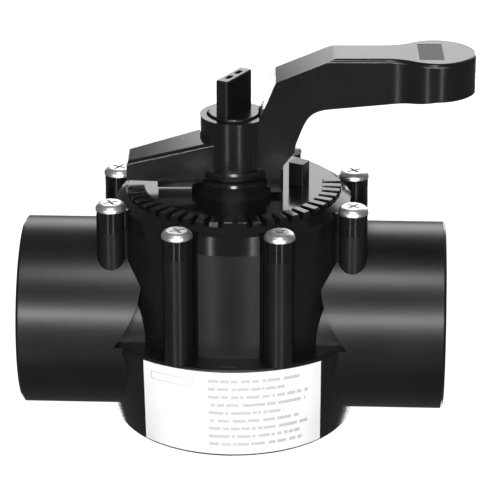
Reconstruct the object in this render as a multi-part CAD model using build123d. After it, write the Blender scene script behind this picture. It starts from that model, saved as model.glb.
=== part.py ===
from build123d import *
from math import sqrt
import os

# A two-port rotary paddle valve for swimming-pool pipework, in millimetres.
# The origin is where the port axis crosses the valve axis. X runs along the ports,
# +Z runs up the stem to the lever, and the label faces -Y.
os.makedirs("parts", exist_ok=True)

# Ports
HALF_LENGTH = 82.0        # valve axis to the mouth of each socket
SOCKET_R = 30.2           # socket for 60.3 mm pipe
SOCKET_DEPTH = 38.0
PORT_WALL = 6.3
THROAT_R = 25.0           # flow bore between socket and chamber
NECK_WALL = 6.0
MOUTH_CHAMFER = 1.0

# Body
CHAMBER_R = 40.0
BARREL_WALL = 5.0
RIM_WIDTH = 10.5          # ledge round the foot of the barrel
BASE_R = 45.8
BASE_Z = -40.6
FLOOR_THICK = 5.0
SEAM_WIDTH = 0.7          # mould seam along both sides of each port
SEAM_HEIGHT = 0.25
MARK_HALF_WIDTH = 3.4     # mould mark on the front of the ledge
MARK_Y = -51.9
SPLIT_Z = 42.0            # joint face between body and cover
SHOULDER_FLARE = 12.5     # how far each port stops short of the barrel at the ledge
SHOULDER_RISE = 22.0      # height over which that gap closes
GROOVE_WIDTH = 2.1        # upright groove on each side of a screw boss
GROOVE_DEPTH = 2.4

# Cover screws
SCREW_COUNT = 8
BOSS_R = 5.6
BOSS_WEB = 3.8            # half width of the web behind each boss
BOSS_STANDOFF = 4.85      # boss axis out from the barrel wall
SEAT_RISE = 8.1           # screw seat above the joint face
SHANK_R = 2.4
SHANK_LENGTH = 18.5
HEAD_R = 5.9
HEAD_HEIGHT = 2.6
HEAD_EDGE = 2.5           # rounding of the pan head's shoulder
TIGHT_GAP = 0.05          # between pieces of one body that fit together
CLEARANCE_HOLE_R = 2.9

# Cover
COVER_RISE = 7.5          # joint face to the top of the cover's rim
SPIGOT_DEPTH = 8.0
SPIGOT_WALL = 6.5
PLATE_R = 41.4            # flat top plate, which slopes off to the rim outside this
PLATE_Z = 52.0
COVER_THICK = 5.0
RIB_COUNT = 25            # on the front half only
RIB_PITCH = 7.5           # degrees
RIB_START = -173.0        # first rib, in degrees from +X
RIB_WIDTH = 3.2
RIB_HEIGHT = 2.1
RIB_LENGTH = 6.9
RIB_EDGE = 0.4
NECK_R = 15.2
NECK_FOOT_R = 16.4
NECK_FOOT_Z = 55.4
NECK_TOP_Z = 58.2
GLAND_DEPTH = 5.0         # seal housing below the cover plate
GLAND_WALL = 4.0

# Stem and its seals
RUN_GAP = 0.05            # running clearance of a shaft in its bush
FREE_GAP = 0.35           # clearance between pieces that move past each other
STEM_R = 7.5
PIVOT_R = 4.5
BUSH_WALL = 2.0
STEM_RING_WIDTH = 2.6
STEM_RING_PITCH = 4.2     # between the two stem seals, and below the bush
SQUARE = 10.0             # across flats of the lever drive
STEM_TOP_Z = 77.0
COVER_RING_WIDTH = 3.2

# Diverter paddle
PADDLE_HALF_ANGLE = 43.0
PADDLE_TOP_Z = 30.0
PADDLE_THICK = 4.0
SEAL_THICK = 2.0
PADDLE_HUB_R = 11.5
WASHER_RIDE = 1.2         # thrust washer thickness
PIVOT_HEIGHT = 6.0        # chamber floor to the underside of the paddle hub
PIN_R = 2.0
PIN_Z = 20.0

# Lever
LEVER_GAP = 0.4
HUB_R = 13.0
LEVER_HUB_TOP_Z = 82.4
FLANGE_R = 15.2
FLANGE_TOP_Z = 63.0
WASHER_THICK = 0.8
LEVER_TURN = 2.5          # the lever rests a little off the port axis
ARM_HALF_WIDTH = 9.3
ARM_TOP_Z = 107.0
GRIP_X = 76.4
GRIP_R = 15.4
GRIP_UNDER_Z = 92.3
GRIP_BLEND_R = 18.0
FINGER_TIP_X = -41.0
FINGER_UNDER_Z = 58.0
FINGER_TIP_HALF = 7.5
FINGER_TIP_Z = 65.4
FINGER_ROOT_X = -6.0
FINGER_ROOT_HALF = 10.7
FINGER_ROOT_Z = 74.6
LUG_TIP_X = -29.3         # lug under the finger, inside the ring of ribs
LUG_HALF_WIDTH = 5.0
LUG_CLEARANCE = 2.2       # above the cover's plate
LEVER_EDGE = 1.6
FOOT_R = 20.2             # the arm's foot clears the travel stop as it turns
BADGE_X = 74.4
BADGE_LENGTH = 19.0
BADGE_WIDTH = 9.3
BADGE_DEPTH = 0.6

# Travel stop
STOP_X = 24.8
STOP_Y = 6.1
STOP_TURN = -25.0
STOP_WIDTH = 6.4
STOP_DEPTH = 5.6
STOP_HEIGHT = 9.0

# Lock knob
KNOB_BASE_R = 9.8
KNOB_SEAT_Z = 79.0
KNOB_BASE_TOP_Z = 83.2
BLADE_LENGTH = 18.6
BLADE_THICK = 5.2
BLADE_TOP_Z = 98.0
KNOB_ANGLE = 62.0
STUD_R = 3.0
STUD_LENGTH = 14.0
INSERT_WALL = 1.8
POCKET_DEPTH = 1.2

# Label
LABEL_HALF_WIDTH = 33.6
LABEL_THICK = 0.35
LABEL_GLUE = 0.04
LABEL_TOP_GAP = 0.9
LABEL_FOOT_GAP = 1.2
LABEL_TURN = 1.6

# Worked-out sizes
PORT_R = SOCKET_R + PORT_WALL
BARREL_R = CHAMBER_R + BARREL_WALL
RIM_R = BARREL_R + RIM_WIDTH
BOLT_R = BARREL_R + BOSS_STANDOFF
FLOOR_Z = BASE_Z + FLOOR_THICK
SEAT_Z = SPLIT_Z + SEAT_RISE
COVER_UNDER_Z = PLATE_Z - COVER_THICK
GLAND_Z = COVER_UNDER_Z - GLAND_DEPTH
HUB_TOP_Z = GLAND_Z - FREE_GAP - WASHER_RIDE
RIM_TOP_Z = SPLIT_Z + COVER_RISE
RIB_TOP_Z = PLATE_Z + RIB_HEIGHT
SPIGOT_R = CHAMBER_R - TIGHT_GAP
HUB_BOTTOM_Z = FLOOR_Z + PIVOT_HEIGHT
PIVOT_BUSH_R = PIVOT_R + RUN_GAP + BUSH_WALL
BUSH_R = STEM_R + RUN_GAP + BUSH_WALL
PADDLE_R = CHAMBER_R - FREE_GAP - SEAL_THICK
LEVER_BASE_Z = NECK_TOP_Z + WASHER_THICK + LEVER_GAP
INSERT_R = STUD_R + RUN_GAP + INSERT_WALL
STUD_TOP_Z = KNOB_BASE_TOP_Z - 0.8
LOW_RING_Z = GLAND_Z + STEM_RING_WIDTH / 2 + 1
STEM_RING_Z = (LOW_RING_Z, LOW_RING_Z + STEM_RING_PITCH)
COVER_RING_Z = SPLIT_Z - SPIGOT_DEPTH / 2
MID = (Align.CENTER, Align.CENTER, Align.MIN)


def disc(radius, low, high):
    return Pos(0, 0, low) * Cylinder(radius, high - low, align=MID)


def ring(outer, inner, low, high):
    return disc(outer, low, high) - disc(inner, low - 1, high + 1)


def bar_x(radius, start, end):
    return Pos(start, 0, 0) * Rot(0, 90, 0) * Cylinder(radius, end - start, align=MID)


def block(x, y, z):
    size = Box(x[1] - x[0], y[1] - y[0], z[1] - z[0], align=(Align.MIN,) * 3)
    return Pos(x[0], y[0], z[0]) * size


def turned(points):
    """A solid of revolution about Z from (radius, height) points."""
    profile = Plane.XZ * make_face(Polyline(*points, close=True))
    return revolve(profile, Axis.Z)


def o_ring(middle_r, width, z):
    profile = Plane.XZ * (Pos(middle_r, z) * Circle(width / 2))
    return revolve(profile, Axis.Z)


def screw_places():
    step = 360 / SCREW_COUNT
    return [Rot(0, 0, step * (n + 0.5)) * Pos(BOLT_R, 0, 0) for n in range(SCREW_COUNT)]


def bosses(low, high):
    """Round screw bosses, each tied back to the wall by a narrower web."""
    web = block((-BOSS_STANDOFF - BARREL_WALL / 2, 0), (-BOSS_WEB, BOSS_WEB), (low, high))
    one = disc(BOSS_R, low, high) + web
    return [place * one for place in screw_places()]


def grooves(low, high):
    depth = (-BOSS_STANDOFF - GROOVE_DEPTH, 0)
    cuts = []
    for place in screw_places():
        for near in (BOSS_WEB, -BOSS_WEB - GROOVE_WIDTH):
            cuts.append(place * block(depth, (near, near + GROOVE_WIDTH), (low, high)))
    return cuts


def save(shape, name):
    export_step(shape, f"parts/{name}.step")


# Body: bowl, barrel, screw bosses and two sockets, moulded in one piece
def bowl_solid(extra=0.0):
    return turned([(0, BASE_Z), (BASE_R + extra, BASE_Z), (RIM_R + extra, 0), (0, 0)])


def make_body():
    bowl = bowl_solid()
    bottom_edge = bowl.edges().filter_by(GeomType.CIRCLE).sort_by(Axis.Z)[0]
    bowl = fillet(bottom_edge, 1.0)
    rim_edge = bowl.edges().filter_by(GeomType.CIRCLE).sort_by(Axis.Z)[-1]
    bowl = fillet(rim_edge, 1.2)
    barrel = disc(BARREL_R, -1, SPLIT_Z) - grooves(0, SPLIT_Z)
    shoulder = turned([(0, 0), (BARREL_R + SHOULDER_FLARE, 0), (BARREL_R, SHOULDER_RISE),
                       (BARREL_R, SPLIT_Z), (0, SPLIT_Z)])
    ports = bar_x(PORT_R, -HALF_LENGTH, HALF_LENGTH)
    ports = chamfer(ports.edges().filter_by(GeomType.CIRCLE), MOUTH_CHAMFER)
    seam = Box(2 * (HALF_LENGTH - MOUTH_CHAMFER), 2 * (PORT_R + SEAM_HEIGHT), SEAM_WIDTH)
    ports = ports - shoulder + (seam - disc(BARREL_R + SHOULDER_FLARE, -1, 1))
    throat_tube = bar_x(THROAT_R + NECK_WALL, -HALF_LENGTH / 2, HALF_LENGTH / 2)
    throat_tube += bar_x(THROAT_R + NECK_WALL, -HALF_LENGTH + SOCKET_DEPTH / 2,
                         HALF_LENGTH - SOCKET_DEPTH / 2)
    mark = block((-MARK_HALF_WIDTH, MARK_HALF_WIDTH), (MARK_Y - 0.5, MARK_Y + 0.5), (-0.5, 0.4))
    body = bowl + barrel + ports + throat_tube + mark + bosses(-0.5, SPLIT_Z)
    body -= disc(CHAMBER_R, FLOOR_Z, SPLIT_Z + 1)
    body -= bar_x(THROAT_R, -HALF_LENGTH, HALF_LENGTH)
    for side in (0, 180):
        socket = bar_x(SOCKET_R, HALF_LENGTH - SOCKET_DEPTH, HALF_LENGTH + 1)
        mouth = Pos(HALF_LENGTH - MOUTH_CHAMFER, 0, 0) * Rot(0, 90, 0)
        lead_in = mouth * Cone(SOCKET_R, SOCKET_R + MOUTH_CHAMFER, MOUTH_CHAMFER, align=MID)
        body -= Rot(0, 0, side) * (socket + lead_in)
    pivot_boss = ring(PIVOT_BUSH_R + 3, PIVOT_BUSH_R, FLOOR_Z, HUB_BOTTOM_Z - 1)
    body += pivot_boss
    pilot = disc(SHANK_R + TIGHT_GAP, SEAT_Z - SHANK_LENGTH - 1, SPLIT_Z + 1)
    body -= [place * pilot for place in screw_places()]
    return body


def make_bottom_bush():
    return ring(PIVOT_BUSH_R, PIVOT_R + RUN_GAP, FLOOR_Z, HUB_BOTTOM_Z - 1)


# Cover: rim with screw bosses, flat plate with ribs, and bearing neck
def make_cover():
    spigot_in = SPIGOT_R - SPIGOT_WALL
    shell = turned([
        (BUSH_R, GLAND_Z), (BUSH_R + GLAND_WALL, GLAND_Z),
        (BUSH_R + GLAND_WALL, COVER_UNDER_Z), (spigot_in, COVER_UNDER_Z),
        (spigot_in, SPLIT_Z - SPIGOT_DEPTH),
        (SPIGOT_R, SPLIT_Z - SPIGOT_DEPTH), (SPIGOT_R, SPLIT_Z), (BARREL_R, SPLIT_Z),
        (BARREL_R, RIM_TOP_Z), (PLATE_R, PLATE_Z), (NECK_FOOT_R, PLATE_Z),
        (NECK_FOOT_R, NECK_FOOT_Z), (NECK_R, NECK_FOOT_Z),
        (NECK_R, NECK_TOP_Z - 0.8), (NECK_R - 0.8, NECK_TOP_Z), (BUSH_R, NECK_TOP_Z)])
    shell -= grooves(SPLIT_Z, RIM_TOP_Z + 1)
    rib_end = PLATE_R - 0.2
    rib = block((rib_end - RIB_LENGTH, rib_end), (-RIB_WIDTH / 2, RIB_WIDTH / 2),
                (PLATE_Z - 0.5, RIB_TOP_Z))
    rib = fillet(rib.faces().sort_by(Axis.Z)[-1].edges(), RIB_EDGE)
    ribs = [Rot(0, 0, RIB_START + RIB_PITCH * n) * rib for n in range(RIB_COUNT)]
    cover = shell + bosses(SPLIT_Z, SEAT_Z) + ribs
    hole = disc(CLEARANCE_HOLE_R, SPLIT_Z - 1, SEAT_Z + 1)
    head_room = disc(HEAD_R + TIGHT_GAP, SEAT_Z, RIB_TOP_Z)
    cover -= [place * hole for place in screw_places()]
    cover -= [place * head_room for place in screw_places()]
    gland = ring(SPIGOT_R + 1, SPIGOT_R - COVER_RING_WIDTH,
                 COVER_RING_Z - COVER_RING_WIDTH / 2 - 0.2,
                 COVER_RING_Z + COVER_RING_WIDTH / 2 + 0.2)
    return cover - gland


def make_cover_o_ring():
    return o_ring(CHAMBER_R - TIGHT_GAP - COVER_RING_WIDTH / 2, COVER_RING_WIDTH, COVER_RING_Z)


def make_cover_bush():
    low = STEM_RING_Z[-1] + STEM_RING_WIDTH / 2 + 0.6
    return ring(BUSH_R, STEM_R + RUN_GAP, low, NECK_TOP_Z)


def make_screw():
    shank = disc(SHANK_R, SEAT_Z - SHANK_LENGTH, SEAT_Z + 0.1)
    head = disc(HEAD_R, SEAT_Z, SEAT_Z + HEAD_HEIGHT)
    head = fillet(head.edges().filter_by(GeomType.CIRCLE).sort_by(Axis.Z)[-1], HEAD_EDGE)
    slot_low = SEAT_Z + HEAD_HEIGHT - 1.6
    slot = Pos(0, 0, slot_low) * Box(6.0, 1.1, 4, align=MID)
    return shank + head - slot - Rot(0, 0, 90) * slot


def make_cover_screws():
    turns = (12, 67, 34, 80, 5, 51, 24, 73)
    pairs = zip(screw_places(), turns)
    return Compound(children=[place * Rot(0, 0, turn) * make_screw() for place, turn in pairs])


# Stem, paddle and seals turn together
def make_stem():
    stem = disc(PIVOT_R, FLOOR_Z + FREE_GAP, HUB_BOTTOM_Z + 2)
    stem += disc(STEM_R, HUB_BOTTOM_Z + 2, LEVER_BASE_Z)
    drive = Box(SQUARE, SQUARE, STEM_TOP_Z - LEVER_BASE_Z, align=MID)
    stem += Pos(0, 0, LEVER_BASE_Z) * Rot(0, 0, LEVER_TURN) * drive
    for z in STEM_RING_Z:
        half = STEM_RING_WIDTH / 2
        stem -= ring(STEM_R + 1, BUSH_R - FREE_GAP - STEM_RING_WIDTH, z - half, z + half)
    stem -= disc(INSERT_R, STEM_TOP_Z - STUD_LENGTH, STEM_TOP_Z + 1)
    return stem - pin_bar(PIN_R)


def pin_bar(radius):
    reach = PADDLE_HUB_R - 0.5
    return Pos(0, -reach, PIN_Z) * Rot(-90, 0, 0) * Cylinder(radius, 2 * reach, align=MID)


def make_stem_o_rings():
    middle = BUSH_R - FREE_GAP - STEM_RING_WIDTH / 2
    return Compound(children=[o_ring(middle, STEM_RING_WIDTH, z) for z in STEM_RING_Z])


def sector(outer, inner, low, high, half_angle):
    """Part of a ring, centred on -X."""
    profile = block((inner, outer), (0, 0.001), (low, high)).faces().sort_by(Axis.Y)[0]
    return Rot(0, 0, 180 - half_angle) * revolve(profile, Axis.Z, 2 * half_angle)


def make_paddle():
    hub = disc(PADDLE_HUB_R, HUB_BOTTOM_Z, HUB_TOP_Z)
    shoe = sector(PADDLE_R, PADDLE_R - PADDLE_THICK, HUB_BOTTOM_Z, PADDLE_TOP_Z,
                  PADDLE_HALF_ANGLE)
    webs = []
    for z in (HUB_BOTTOM_Z, 0, PADDLE_TOP_Z - 3):
        webs.append(block((-PADDLE_R + 1, 0), (-7, 7), (z, z + 3)))
        webs.append(sector(PADDLE_R - 1, 0.5, z, z + 3, PADDLE_HALF_ANGLE))
    spine = block((-PADDLE_R + 1, 0), (-2, 2), (HUB_BOTTOM_Z, PADDLE_TOP_Z))
    paddle = hub + shoe + webs + spine
    paddle -= disc(STEM_R + TIGHT_GAP, HUB_BOTTOM_Z + 2, HUB_TOP_Z + 1)
    paddle -= disc(PIVOT_R + TIGHT_GAP, HUB_BOTTOM_Z - 1, HUB_BOTTOM_Z + 3)
    return paddle - pin_bar(PIN_R + TIGHT_GAP)


def make_paddle_seal():
    seal = sector(PADDLE_R + SEAL_THICK, PADDLE_R + 0.02, HUB_BOTTOM_Z + 1,
                  PADDLE_TOP_Z - 1, PADDLE_HALF_ANGLE - 1)
    return seal - bar_x(THROAT_R - 4, -CHAMBER_R - 5, 0)


def make_thrust_washer():
    return ring(PADDLE_HUB_R, STEM_R + TIGHT_GAP, HUB_TOP_Z, HUB_TOP_Z + WASHER_RIDE)


# Lever: hub, cranked arm with a round grip, and a short finger that meets the stop
def lever_outline():
    """The lever seen from above."""
    arm = Pos(GRIP_X / 2, 0) * Rectangle(GRIP_X, 2 * ARM_HALF_WIDTH)
    outline = arm + Pos(GRIP_X, 0) * Circle(GRIP_R)
    neck_x = GRIP_X - sqrt(GRIP_R ** 2 - ARM_HALF_WIDTH ** 2)
    necks = [v for v in outline.vertices() if abs(v.X - neck_x) < 0.01]
    return fillet(necks, GRIP_BLEND_R)


def arm_side():
    """The cranked arm seen from the front."""
    tip = GRIP_X + GRIP_R + 1
    top = Polyline((18.8, 53.8), (8.0, 53.8), (8.0, 80.0), (9.3, 82.0), (15.8, 97.8),
                   (38.0, ARM_TOP_Z), (tip, ARM_TOP_Z), (tip, GRIP_UNDER_Z),
                   (76.0, 92.0), (70.0, 91.0), (58.0, 89.2), (36.0, 87.2))
    under = Spline((36.0, 87.2), (28.6, 84.2), (24.6, 76.0), (23.0, 69.8),
                   tangents=((-1, -0.1), (-0.1, -1)))
    foot = Polyline((23.0, 69.8), (18.8, 64.6), (18.8, 53.8))
    return make_face(top + under + foot)


def finger_side():
    return make_face(Polyline(
        (FINGER_TIP_X, FINGER_UNDER_Z), (FINGER_ROOT_X, FINGER_UNDER_Z),
        (FINGER_ROOT_X, FINGER_ROOT_Z), (FINGER_TIP_X, FINGER_TIP_Z), close=True))


def make_lever():
    arm = extrude(Plane.XZ * arm_side(), GRIP_R + 2, both=True)
    plan = Pos(0, 0, PLATE_Z) * extrude(lever_outline(), ARM_TOP_Z)
    arm = arm & plan
    arm = fillet(arm.faces().sort_by(Axis.Z)[-1].edges(), LEVER_EDGE)
    arm -= ring(GRIP_X, FOOT_R, PLATE_Z, FLANGE_TOP_Z + 1)
    finger_plan = make_face(Polyline(
        (FINGER_TIP_X, -FINGER_TIP_HALF), (FINGER_ROOT_X, -FINGER_ROOT_HALF),
        (FINGER_ROOT_X, FINGER_ROOT_HALF), (FINGER_TIP_X, FINGER_TIP_HALF), close=True))
    finger = extrude(Plane.XZ * finger_side(), HUB_R, both=True)
    finger = finger & (Pos(0, 0, PLATE_Z) * extrude(finger_plan, ARM_TOP_Z))
    finger = fillet(finger.faces().sort_by(Axis.Z)[-1].edges(), LEVER_EDGE)
    lug = block((LUG_TIP_X, -FLANGE_R + 1), (-LUG_HALF_WIDTH, LUG_HALF_WIDTH),
                (PLATE_Z + LUG_CLEARANCE, FINGER_UNDER_Z + 1))
    hub = disc(HUB_R, LEVER_BASE_Z, LEVER_HUB_TOP_Z)
    flange = disc(FLANGE_R, LEVER_BASE_Z, FLANGE_TOP_Z)
    flange = chamfer(flange.edges().filter_by(GeomType.CIRCLE), 0.8)
    lever = hub + flange + arm + finger + lug
    lever -= disc(FLANGE_R + LEVER_GAP, PLATE_Z, LEVER_BASE_Z)
    lever -= disc(NECK_FOOT_R + LEVER_GAP, PLATE_Z, NECK_FOOT_Z + LEVER_GAP)
    lever -= disc(KNOB_BASE_R + FREE_GAP + 0.3, KNOB_SEAT_Z, KNOB_BASE_TOP_Z)
    lever -= Pos(0, 0, KNOB_BASE_TOP_Z) * Cone(
        KNOB_BASE_R + FREE_GAP + 0.3, KNOB_BASE_R + 6, BLADE_TOP_Z - KNOB_BASE_TOP_Z + 4, align=MID)
    half = SQUARE / 2 + TIGHT_GAP
    lever -= block((-half, half), (-half, half), (LEVER_BASE_Z - 1, STEM_TOP_Z + 0.5))
    lever -= disc(STUD_R + 0.6, STEM_TOP_Z, KNOB_SEAT_Z + 1)
    return Rot(0, 0, LEVER_TURN) * (lever - badge_block(BADGE_DEPTH))


def badge_block(depth):
    x = (BADGE_X - BADGE_WIDTH / 2, BADGE_X + BADGE_WIDTH / 2)
    return block(x, (-BADGE_LENGTH / 2, BADGE_LENGTH / 2), (ARM_TOP_Z - depth, ARM_TOP_Z + 1))


def make_lever_badge():
    gap = TIGHT_GAP
    x = (BADGE_X - BADGE_WIDTH / 2 + gap, BADGE_X + BADGE_WIDTH / 2 - gap)
    y = (-BADGE_LENGTH / 2 + gap, BADGE_LENGTH / 2 - gap)
    badge = block(x, y, (ARM_TOP_Z - BADGE_DEPTH, ARM_TOP_Z - 0.1))
    return Rot(0, 0, LEVER_TURN) * badge


def make_lever_washer():
    return ring(NECK_R - 1.2, STEM_R + FREE_GAP, NECK_TOP_Z, NECK_TOP_Z + WASHER_THICK)


def make_travel_stop():
    tower = Box(STOP_WIDTH, STOP_DEPTH, STOP_HEIGHT, align=MID)
    tower = fillet(tower.edges().filter_by(Axis.Z), 0.5)
    return Pos(STOP_X, STOP_Y, PLATE_Z) * Rot(0, 0, STOP_TURN) * tower


# Lock knob: a blade on a round base, with a steel stud that screws into the stem
def make_lock_knob():
    base = disc(KNOB_BASE_R, KNOB_SEAT_Z + 1 + FREE_GAP, KNOB_BASE_TOP_Z)
    base = fillet(base.edges().filter_by(GeomType.CIRCLE).sort_by(Axis.Z)[-1], 0.6)
    height = BLADE_TOP_Z - KNOB_BASE_TOP_Z + 1
    blade = Pos(0, 0, KNOB_BASE_TOP_Z - 1) * Box(BLADE_LENGTH, BLADE_THICK, height, align=MID)
    blade = fillet(blade.edges().filter_by(Axis.Z), 1.0)
    blade = fillet(blade.faces().sort_by(Axis.Z)[-1].edges(), 0.7)
    for x in (-3.4, 3.4):
        pocket = extrude(SlotOverall(4.4, 2.0), POCKET_DEPTH + 1)
        blade -= Pos(x, 0, BLADE_TOP_Z - POCKET_DEPTH) * pocket
    knob = Rot(0, 0, KNOB_ANGLE) * (base + blade)
    return knob - disc(STUD_R + 0.02, KNOB_SEAT_Z, STUD_TOP_Z)


def make_knob_stud():
    return disc(STUD_R, STEM_TOP_Z - STUD_LENGTH + 1, STUD_TOP_Z)


def make_knob_washer():
    return ring(KNOB_BASE_R - 1, STUD_R + FREE_GAP, KNOB_SEAT_Z, KNOB_SEAT_Z + 1)


def make_stem_insert():
    return ring(INSERT_R, STUD_R + RUN_GAP, STEM_TOP_Z - STUD_LENGTH, STEM_TOP_Z)


def make_body_label():
    """A flat sheet wrapped round the front of the bowl, so its side edges stay upright."""
    skin = bowl_solid(LABEL_THICK) - bowl_solid(LABEL_GLUE)
    front = block((-LABEL_HALF_WIDTH, LABEL_HALF_WIDTH), (-RIM_R - 5, -BASE_R / 3),
                  (BASE_Z + LABEL_FOOT_GAP, -LABEL_TOP_GAP))
    return Rot(0, 0, LABEL_TURN) * (skin & front)


save(make_body(), "body")
save(make_bottom_bush(), "bottom_bush")
save(make_cover(), "cover")
save(make_cover_o_ring(), "cover_o_ring")
save(make_cover_bush(), "cover_bush")
save(make_cover_screws(), "cover_screws")
save(make_travel_stop(), "travel_stop")
save(make_lever_washer(), "lever_washer")
save(make_body_label(), "body_label")
save(make_stem(), "stem")
save(make_stem_o_rings(), "stem_o_rings")
save(make_stem_insert(), "stem_insert")
save(make_paddle(), "paddle")
save(make_paddle_seal(), "paddle_seal")
save(pin_bar(PIN_R), "paddle_pin")
save(make_thrust_washer(), "thrust_washer")
save(make_lever(), "lever")
save(make_lever_badge(), "lever_badge")
save(make_knob_washer(), "knob_washer")
save(make_lock_knob(), "lock_knob")
save(make_knob_stud(), "knob_stud")
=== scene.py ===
# %% [markdown]
# # A two-port paddle valve, finished around its engineering model
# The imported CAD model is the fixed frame: it holds every piece at its real size and place.
# This notebook adds the finishes, the moulded details and the studio. Lengths are in metres.

# %% Load the frame
from math import cos, pi, radians, sin

import bpy
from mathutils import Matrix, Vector


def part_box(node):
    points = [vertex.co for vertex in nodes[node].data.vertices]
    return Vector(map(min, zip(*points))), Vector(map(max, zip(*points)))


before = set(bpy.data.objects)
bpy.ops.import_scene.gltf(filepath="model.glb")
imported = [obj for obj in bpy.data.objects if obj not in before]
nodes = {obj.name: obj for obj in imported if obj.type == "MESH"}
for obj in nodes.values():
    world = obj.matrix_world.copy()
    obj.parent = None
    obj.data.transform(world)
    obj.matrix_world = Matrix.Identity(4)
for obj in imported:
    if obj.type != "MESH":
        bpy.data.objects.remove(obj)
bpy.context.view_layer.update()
print("pieces in the frame:", len(nodes))

# %% [markdown]
# ## Camera
# The camera stands about a metre away with a long lens, so the view is nearly parallel. It is
# a little to the right of the label and looks down by about 24 degrees. It aims above the port
# axis, so that the lever and the base have about the same margin.

# %% Place the camera
MM = 0.001
AZIMUTH = radians(2.78)
ELEVATION = radians(23.79)
DISTANCE = 1.101
LENS = 201.9
AIM_RIGHT = 6.17 * MM
AIM_UP = 24.0 * MM

level = cos(ELEVATION)
towards_camera = Vector((sin(AZIMUTH) * level, -cos(AZIMUTH) * level, sin(ELEVATION)))
camera_right = Vector((cos(AZIMUTH), sin(AZIMUTH), 0.0))
camera_up = towards_camera.cross(camera_right)
camera_data = bpy.data.cameras.new("camera")
camera_data.lens = LENS
camera = bpy.data.objects.new("camera", camera_data)
bpy.context.scene.collection.objects.link(camera)
camera.location = towards_camera * DISTANCE
aim = camera_right * AIM_RIGHT + camera_up * AIM_UP
camera.rotation_euler = (aim - camera.location).to_track_quat("-Z", "Y").to_euler()
bpy.context.scene.camera = camera
print("camera at", [round(c, 3) for c in camera.location])

# %% [markdown]
# ## Shader maths as Python
# A finish is easier to read as an expression than as a list of nodes. `Field` wraps an output
# socket and turns +, -, * and so on into Math nodes. `Finish` owns a material and makes every
# other node through one method: type, settings, then sockets.

# %% Field and Finish
NOISE_ROUGHNESS = 0.5


class Field:
    """A value that varies over a surface."""

    def __init__(self, finish, socket):
        self.finish = finish
        self.socket = socket

    def maths(self, operation, *values):
        sockets = dict(enumerate((self,) + values))
        return self.finish.node("Math", {"operation": operation}, sockets)

    def __add__(self, other):
        return self.maths("ADD", other)

    def __mul__(self, other):
        return self.maths("MULTIPLY", other)

    def __sub__(self, other):
        return self.maths("SUBTRACT", other)

    def __truediv__(self, other):
        return self.maths("DIVIDE", other)

    def __gt__(self, other):
        return self.maths("GREATER_THAN", other)

    def __lt__(self, other):
        return self.maths("LESS_THAN", other)

    __radd__ = __add__
    __rmul__ = __mul__

    def floor(self):
        return self.maths("FLOOR")

    def between(self, low, high):
        """1 inside the range, 0 outside."""
        return (self > low) * (self < high)

    def ramp(self, low, high):
        """0 below low, 1 above high, smooth between."""
        sockets = {"Value": self, "From Min": low, "From Max": high}
        return self.finish.node("MapRange", {"interpolation_type": "SMOOTHSTEP"}, sockets)


class Finish:
    """A named material and the nodes that make it."""

    def __init__(self, name, **constants):
        self.material = bpy.data.materials.new(name)
        self.material.use_nodes = True
        self.tree = self.material.node_tree
        self.tree.nodes.clear()
        self.shader = self.tree.nodes.new("ShaderNodeBsdfPrincipled")
        output = self.tree.nodes.new("ShaderNodeOutputMaterial")
        self.tree.links.new(self.shader.outputs[0], output.inputs[0])
        for socket, value in constants.items():
            self.shader.inputs[socket.replace("_", " ")].default_value = value

    def feed(self, socket, value):
        if isinstance(value, Field):
            self.tree.links.new(value.socket, socket)
        else:
            socket.default_value = value

    def node(self, kind, settings=None, sockets=None, output=0):
        made = self.tree.nodes.new("ShaderNode" + kind)
        for name, value in (settings or {}).items():
            setattr(made, name, value)
        for name, value in (sockets or {}).items():
            self.feed(made.inputs[name], value)
        return Field(self, made.outputs[output])

    def set(self, socket, value):
        self.feed(self.shader.inputs[socket], value)

    def place(self):
        """Where the point is in the piece's own frame, in metres."""
        return self.node("TexCoord", output="Object")

    def axes(self):
        return [self.node("SeparateXYZ", sockets={0: self.place()}, output=n) for n in range(3)]

    def noise(self, per_metre, detail=3.0, where=None):
        sockets = {"Vector": where or self.place(), "Scale": per_metre, "Detail": detail,
                   "Roughness": NOISE_ROUGHNESS}
        return self.node("TexNoise", sockets=sockets)

    def mix(self, factor, low, high):
        """A colour between two, by factor. Each is a Field or three numbers."""
        low, high = (c if isinstance(c, Field) else (*c, 1) for c in (low, high))
        return self.node("Mix", {"data_type": "RGBA"}, {0: factor, 6: low, 7: high}, output=2)

    def bump(self, height, depth):
        sockets = {"Height": height, "Distance": depth, "Strength": 1.0}
        self.set("Normal", self.node("Bump", sockets=sockets))


def dress(finish, *names):
    for name in names:
        piece = nodes[name]
        piece.data.materials.clear()
        piece.data.materials.append(finish.material)
    print(finish.material.name, "on", ", ".join(names))


# %% [markdown]
# ## Moulded black plastic
# The body and cover are injection mouldings in carbon-black ABS. Up close the skin has a very
# shallow orange peel, slightly cloudy gloss where the melt cooled unevenly, and dust.

# %% Housing plastic
PLASTIC_IOR = 1.5
CLOUD_SCALE = 38                # scales are in cycles per metre
PEEL_SCALE = 1500
DUST_SCALE = 5200
CLOUD_EDGES = (0.3, 0.7)
CLOUD_DARK, CLOUD_LIGHT = 0.8, 1.25
CLOUD_GLOSS = 0.10
CLOUD_HEIGHT = 0.6              # beside the peel's height of 1
DUST_EDGES = (0.69, 0.76)
DUST_COLOUR = (0.12, 0.12, 0.12)
DUST_COVER = 0.25
DUST_GLOSS = 0.2
CARBON_BLACK = (0.0045, 0.0045, 0.005)


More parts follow.
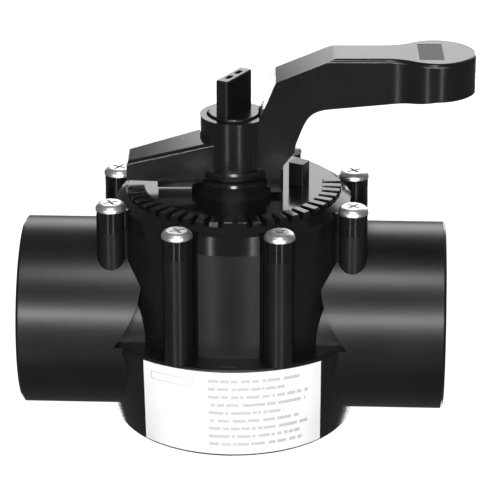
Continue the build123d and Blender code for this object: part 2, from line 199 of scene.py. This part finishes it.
def moulded_plastic(name, base, gloss, peel):
    made = Finish(name, IOR=PLASTIC_IOR)
    cloud = made.noise(CLOUD_SCALE, detail=4.0)
    fine = made.noise(PEEL_SCALE, detail=2.0)
    speck = made.noise(DUST_SCALE, detail=1.0).ramp(*DUST_EDGES)
    dark, light = ([c * part for c in base] for part in (CLOUD_DARK, CLOUD_LIGHT))
    colour = made.mix(cloud.ramp(*CLOUD_EDGES), dark, light)
    made.set("Base Color", made.mix(speck * DUST_COVER, colour, DUST_COLOUR))
    made.set("Roughness", gloss + (cloud - 0.5) * CLOUD_GLOSS + speck * DUST_GLOSS)
    made.bump(fine + cloud * CLOUD_HEIGHT, peel)
    return made


housing = moulded_plastic("housing_plastic", CARBON_BLACK, gloss=0.33, peel=0.010 * MM)
dress(housing, "body", "travel_stop", "stem", "paddle")

# %% Cover plastic
# The cover's tool is polished, so it reflects more sharply than the body.
polished = moulded_plastic("cover_plastic", CARBON_BLACK, gloss=0.14, peel=0.004 * MM)
dress(polished, "cover")

# %% Lever plastic
LEVER_BLACK = (0.005, 0.005, 0.0055)
lever_finish = moulded_plastic("lever_plastic", LEVER_BLACK, gloss=0.22, peel=0.008 * MM)
dress(lever_finish, "lever", "lock_knob", "lever_washer")

# %% Small finishes
# The moulded finish also serves for rubber, the grip's inlay and acetal.
RUBBER_BLACK = (0.012, 0.012, 0.012)
rubber = moulded_plastic("seal_rubber", RUBBER_BLACK, gloss=0.62, peel=0.03 * MM)
dress(rubber, "cover_o_ring", "stem_o_rings", "paddle_seal")

BADGE_GREY = (0.02, 0.02, 0.021)
badge = moulded_plastic("badge_plastic", BADGE_GREY, gloss=0.5, peel=0.05 * MM)
dress(badge, "lever_badge")

ACETAL_WHITE = (0.62, 0.61, 0.57)
acetal = moulded_plastic("bush_plastic", ACETAL_WHITE, gloss=0.4, peel=0.01 * MM)
dress(acetal, "bottom_bush", "cover_bush", "thrust_washer")

# %% Metals
STEEL_DULL, STEEL_BRIGHT = (0.80, 0.80, 0.79), (0.94, 0.94, 0.93)
steel = Finish("stainless", Metallic=1.0)
wear = steel.noise(900, detail=4.0)
steel.set("Base Color", steel.mix(wear, STEEL_DULL, STEEL_BRIGHT))
steel.set("Roughness", 0.28 + wear * 0.24)
steel.bump(wear, depth=0.02 * MM)
dress(steel, "cover_screws", "paddle_pin", "knob_washer", "knob_stud")

BRASS_DULL, BRASS_BRIGHT = (0.60, 0.42, 0.17), (0.78, 0.60, 0.30)
brass = Finish("insert_brass", Metallic=1.0)
turned = brass.noise(1200, detail=2.0)
brass.set("Base Color", brass.mix(turned, BRASS_DULL, BRASS_BRIGHT))
brass.set("Roughness", 0.25 + turned * 0.15)
dress(brass, "stem_insert")

# %% [markdown]
# ## The label
# White film with print made of ruled bars and one empty box: nothing on it can be read. Rows
# are counted down from the port axis, and noise along each row opens the gaps between words.

# %% Label film and print
FIRST_ROW = 4.2                 # label lengths are in millimetres
ROW_PITCH = 3.7
ROWS = 9
BAR_SHARE = 0.42                # of the pitch; the rest is the gap under a row
PRINT_LEFT = -7.5
SHORTEST_ROW = 21.0
ROW_SPREAD = 10.0
WORD_SCALE, WORD_CUT = 520, 0.43
BOX_ACROSS = (-29.5, -13.0)
BOX_UP = (-8.4, -4.6)
BOX_LINE = 0.4
TABLE_INK, BOX_INK = 0.55, 0.45
FILM_CLEAN, FILM_SOILED = (0.92, 0.92, 0.92), (0.87, 0.87, 0.86)
INK_GREY = (0.22, 0.22, 0.22)

film = Finish("label_film", IOR=1.45)
x, _, z = film.axes()
across, up = x / MM, z / MM
row_at = (-1.0 * z / MM - FIRST_ROW) / ROW_PITCH
row = row_at.floor()
in_bar = (row_at - row).between(0.0, BAR_SHARE) * row.between(-0.5, ROWS - 0.5)
along_row = film.node("CombineXYZ", sockets={"X": x, "Y": row, "Z": 0.0})
words = film.noise(WORD_SCALE, detail=1.0, where=along_row) > WORD_CUT
row_length = film.node("TexWhiteNoise", {"noise_dimensions": "1D"}, {"W": row})
in_row = (across > PRINT_LEFT) * (across < row_length * ROW_SPREAD + SHORTEST_ROW)
table = in_bar * words * in_row


def box(inset):
    """1 inside the label's box, drawn in by inset on every side."""
    left, right = BOX_ACROSS
    foot, top = BOX_UP
    return across.between(left + inset, right - inset) * up.between(foot + inset, top - inset)


fibre = film.noise(2500, detail=2.0)
soil = film.noise(60, detail=4.0).ramp(0.35, 0.8)
ink = (table * TABLE_INK + (box(0.0) - box(BOX_LINE)) * BOX_INK) * (0.75 + fibre * 0.4)
film.set("Base Color", film.mix(ink, film.mix(soil, FILM_CLEAN, FILM_SOILED), INK_GREY))
film.set("Roughness", 0.38 + fibre * 0.1 + ink * 0.1)
dress(film, "body_label")

# %% [markdown]
# ## Studio
# The valve stands on a light table, so the ground is plain white and carries no shadow.
# Black gloss shows only what it reflects: a dim room keeps the upright faces near black, a
# wide panel behind lights the top faces at a grazing angle, a long low strip in front draws
# one line along each port, and upright strips in front and behind draw lines down the round
# bosses. A small light overhead picks out edges and screw heads. The fill in front lights the
# label and is not itself reflected.

# %% Light table and room
scene = bpy.context.scene
scene.view_settings.view_transform = "Standard"
floor_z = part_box("body")[0].z
FLOOR_SIZE = 6
ROOM_RADIUS = 5
ROOM_LIGHT = 0.13
paper = Finish("studio_paper", Roughness=0.9, Emission_Strength=1.0)
grain = paper.noise(3)
paper.set("Base Color", paper.mix(grain, (0.30, 0.30, 0.30), (0.34, 0.34, 0.34)))
paper.set("Emission Color", paper.mix(grain, (0.96, 0.96, 0.96), (1.0, 1.0, 1.0)))


def backdrop(name):
    """Make the last added mesh plain white paper that only the camera sees."""
    sheet = bpy.context.object
    sheet.name = name
    sheet.visible_glossy = False
    sheet.visible_diffuse = False
    sheet.visible_shadow = False
    sheet.data.materials.append(paper.material)


bpy.ops.mesh.primitive_plane_add(size=FLOOR_SIZE, location=(0, 0, floor_z))
backdrop("floor")
bpy.ops.mesh.primitive_uv_sphere_add(radius=ROOM_RADIUS, location=(0, 0, 0))
backdrop("room")

world = bpy.data.worlds.new("studio")
scene.world = world
world.use_nodes = True
background = world.node_tree.nodes["Background"]
background.inputs["Color"].default_value = (1, 1, 1, 1)
background.inputs["Strength"].default_value = ROOM_LIGHT


def panel(name, place, target, size, radiance):
    """A rectangular light; its power follows from its size and how bright it looks."""
    data = bpy.data.lights.new(name, "AREA")
    data.shape = "RECTANGLE"
    data.size, data.size_y = size
    data.energy = pi * size[0] * size[1] * radiance
    lamp = bpy.data.objects.new(name, data)
    scene.collection.objects.link(lamp)
    lamp.location = place
    lamp.rotation_euler = (Vector(target) - lamp.location).to_track_quat("-Z", "Y").to_euler()
    return lamp


# %% Panels
MIDDLE = (0, 0, 0.02)
UPPER = (0, 0, 0.05)
STRIP_X, STRIP_Y, STRIP_Z = 0.52, 1.40, -0.45

panel("back_panel", (0.25, 1.3, 0.62), UPPER, size=(1.3, 0.7), radiance=2.7)
panel("front_strip", (0.0, -1.45, 0.42), MIDDLE, size=(1.8, 0.08), radiance=44)
for x_at in (-STRIP_X, STRIP_X):
    front, rear = (x_at, -STRIP_Y, STRIP_Z), (x_at, STRIP_Y, STRIP_Z)
    panel("upright_strip", front, MIDDLE, size=(0.05, 1.3), radiance=9.0)
    panel("rear_strip", rear, MIDDLE, size=(0.10, 1.3), radiance=12)
panel("edge_light", (0.0, -0.6, 1.35), UPPER, size=(0.22, 0.34), radiance=22)
fill = panel("paper_fill", (0.1, -1.2, 0.5), (0, 0, 0), size=(1.0, 1.0), radiance=3.3)
fill.visible_glossy = False
print("studio lit")
